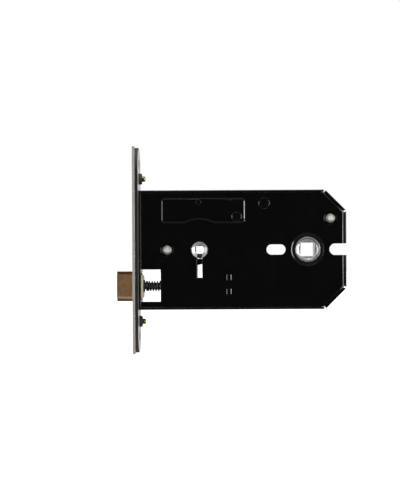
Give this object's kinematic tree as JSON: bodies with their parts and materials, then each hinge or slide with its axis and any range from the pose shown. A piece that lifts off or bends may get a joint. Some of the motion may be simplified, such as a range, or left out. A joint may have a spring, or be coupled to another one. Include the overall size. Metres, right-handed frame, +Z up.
{
  "type": "mortise lock",
  "caption": "Horizontal mortise lock with sprung latch, key-thrown deadbolt, square spindle follower, brass faceplate and black steel case for door furniture with a handle and a key.",
  "frame": {"origin": "centre of the faceplate's front face, on the middle plane of the case and level with keyhole and spindle", "axes": "+X runs from the faceplate through the case into the door, +Z is up with the deadbolt above the latch, and the removable cap faces -Y"},
  "size_m": [0.1376, 0.025, 0.123],
  "materials": {
    "case_black": "gloss black stoved enamel",
    "faceplate_brass": "polished, lacquered",
    "bolt_brass": "satin, lightly aged",
    "lever_brass": "blanked, dull",
    "zinc_steel": "bright zinc plate",
    "bright_steel": "nickel plate",
    "plain_steel": "plain, oiled",
    "spring_steel": "dark spring steel",
    "black_steel": "blackened, semi-gloss",
    "bush_nylon": "moulded, black"
  },
  "bodies": {
    "case": {"case_pan": "case_black", "case_cap": "case_black", "inner_forend": "zinc_steel", "outer_faceplate": "faceplate_brass", "faceplate_screws": "faceplate_brass", "cap_screws": "bright_steel", "front_pillar": "plain_steel", "rear_pillar": "plain_steel", "lever_pivot_post": "black_steel", "bolt_guide_post": "black_steel", "lever_stop_pin": "black_steel", "lever_washers": "lever_brass", "keyhole_bush_near": "bright_steel", "keyhole_bush_far": "bright_steel", "key_ward": "black_steel", "latch_tail_guide": "black_steel", "latch_spring": "spring_steel", "follower_stop_pin": "plain_steel", "follower_bush_near": "bush_nylon", "follower_bush_far": "bush_nylon"},
    "follower_body": {"follower": "bright_steel"},
    "latch": {"latch_head": "bolt_brass", "latch_tail": "plain_steel", "latch_cross_pin": "plain_steel", "latch_spring_washer": "spring_steel"},
    "deadbolt": {"deadbolt_head": "bolt_brass", "deadbolt_tail": "plain_steel", "deadbolt_rivets": "plain_steel", "deadbolt_pins": "bright_steel", "bolt_stump": "plain_steel"},
    "lever_body_1": {"lever_1": "lever_brass", "lever_spring_1": "spring_steel"},
    "lever_body_2": {"lever_2": "lever_brass", "lever_spring_2": "spring_steel"},
    "lever_body_3": {"lever_3": "lever_brass", "lever_spring_3": "spring_steel"}
  },
  "joints": [
    {"name": "follower_turn", "type": "hinge", "parent": "case", "child": "follower_body", "pos_m": [0.104, 0, 0], "axis": [0, -1, 0], "range_deg": [0, 41], "stiffness_Nm_per_rad": 0.09, "springref_deg": -45.84},
    {"name": "latch_slide", "type": "slide", "parent": "case", "child": "latch", "axis": [1, 0, 0], "range_m": [0, 0.0106], "deforming": ["latch_spring"]},
    {"name": "bolt_throw", "type": "slide", "parent": "case", "child": "deadbolt", "axis": [-1, 0, 0], "range_m": [0, 0.014]},
    {"name": "lever_1_drop", "type": "hinge", "parent": "case", "child": "lever_body_1", "pos_m": [0.0783, 0, 0.0277], "axis": [0, -1, 0], "range_deg": [0, 3.5], "stiffness_Nm_per_rad": 0.05, "springref_deg": 11.46},
    {"name": "lever_2_drop", "type": "hinge", "parent": "case", "child": "lever_body_2", "pos_m": [0.0783, 0, 0.0277], "axis": [0, -1, 0], "range_deg": [0, 3.5], "stiffness_Nm_per_rad": 0.05, "springref_deg": 11.46},
    {"name": "lever_3_drop", "type": "hinge", "parent": "case", "child": "lever_body_3", "pos_m": [0.0783, 0, 0.0277], "axis": [0, -1, 0], "range_deg": [0, 3.5], "stiffness_Nm_per_rad": 0.05, "springref_deg": 11.46}
  ],
  "couplings": [
    {"joint": "latch_slide", "follows": "follower_turn", "m_per_rad": 0.0148}
  ]
}
